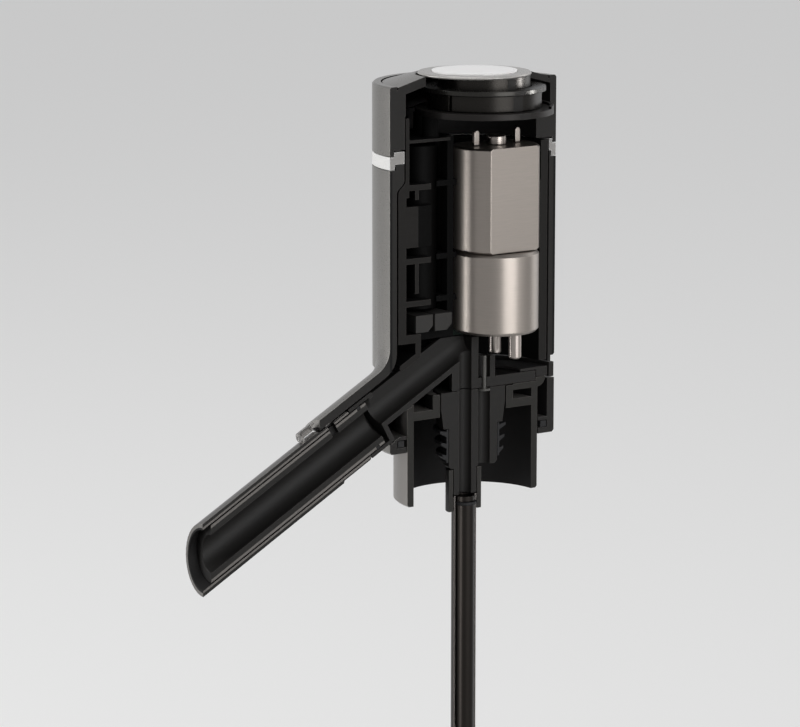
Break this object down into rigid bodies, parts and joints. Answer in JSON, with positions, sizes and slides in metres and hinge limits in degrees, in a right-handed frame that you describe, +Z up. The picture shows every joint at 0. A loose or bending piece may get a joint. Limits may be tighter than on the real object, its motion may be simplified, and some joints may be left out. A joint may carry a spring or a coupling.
{
  "type": "electric drink dispenser",
  "caption": "Cutaway electric drink dispenser for a bottle: cylindrical body with press button, motor and pump, a slanting spout, a neck collar with stopper, and a telescopic straw.",
  "frame": {"origin": "on the body's axis, at the seat for the bottle's lip (underside of the collar's web)", "axes": "+Z up along the body's axis; -X the way the spout points, level; +Y away from the cut face, which lies on the plane y = 0"},
  "size_m": [0.1122, 0.0454, 0.2387],
  "materials": {
    "body_grey": "satin",
    "trim_white": "satin",
    "button_grey": "satin",
    "inlay_white": "gloss",
    "sleeve_metal": "satin",
    "moulding_dark": "matt",
    "moulding_grey": "matt",
    "valve_silicone": "matt",
    "seal_rubber": "matt",
    "straw_steel": "brushed",
    "hood_smoked": "smoked clear",
    "motor_nickel": "brushed",
    "bearing_steel": "turned",
    "terminal_metal": "tinned",
    "contact_copper": "satin",
    "cell_wrap": "satin",
    "board_laminate": "satin",
    "socket_steel": "bright",
    "switch_black": "matt",
    "spring_steel": "bright"
  },
  "bodies": {
    "housing": {"upper_cap": "body_grey", "trim_ring": "trim_white", "main_casing": "body_grey", "seam_ring": "moulding_grey", "base_ring": "body_grey", "collar_seal": "seal_rubber", "neck_collar": "body_grey", "clamp_ring": "moulding_dark", "bottle_stopper": "moulding_dark", "stopper_seal": "seal_rubber", "straw_connector": "moulding_grey", "outer_straw": "moulding_grey", "spout_manifold": "moulding_dark", "check_valve": "valve_silicone", "inner_frame": "moulding_dark", "battery_cell_1": "cell_wrap", "battery_contact_1": "contact_copper", "battery_cell_2": "cell_wrap", "battery_contact_2": "contact_copper", "control_board": "board_laminate", "power_socket": "socket_steel", "motor_can": "motor_nickel", "motor_bearing": "bearing_steel", "motor_terminal_1": "terminal_metal", "motor_terminal_2": "terminal_metal", "pump_body": "motor_nickel", "pump_outlet_port": "motor_nickel", "pump_inlet_port": "motor_nickel", "switch_carrier": "moulding_dark", "button_housing": "sleeve_metal", "retaining_ring": "sleeve_metal", "tact_switch": "switch_black", "return_spring": "spring_steel"},
    "button": {"button_cap": "button_grey", "button_inlay": "inlay_white", "button_sleeve": "sleeve_metal"},
    "straw": {"inner_straw": "straw_steel", "straw_seal": "seal_rubber"},
    "nozzle": {"nozzle_shell": "body_grey", "nozzle_liner": "moulding_grey", "nozzle_seal": "seal_rubber", "air_inlet_hood": "hood_smoked"}
  },
  "joints": [
    {"name": "button_press", "type": "slide", "parent": "housing", "child": "button", "axis": [0, 0, -1], "range_m": [0, 0.001], "stiffness_N_per_m": 400, "springref_m": -0.003},
    {"name": "straw_extend", "type": "slide", "parent": "housing", "child": "straw", "axis": [0, 0, -1], "range_m": [0, 0.1]},
    {"name": "nozzle_pull", "type": "slide", "parent": "housing", "child": "nozzle", "axis": [-0.8729, 0, -0.4879], "range_m": [0, 0.012]}
  ]
}
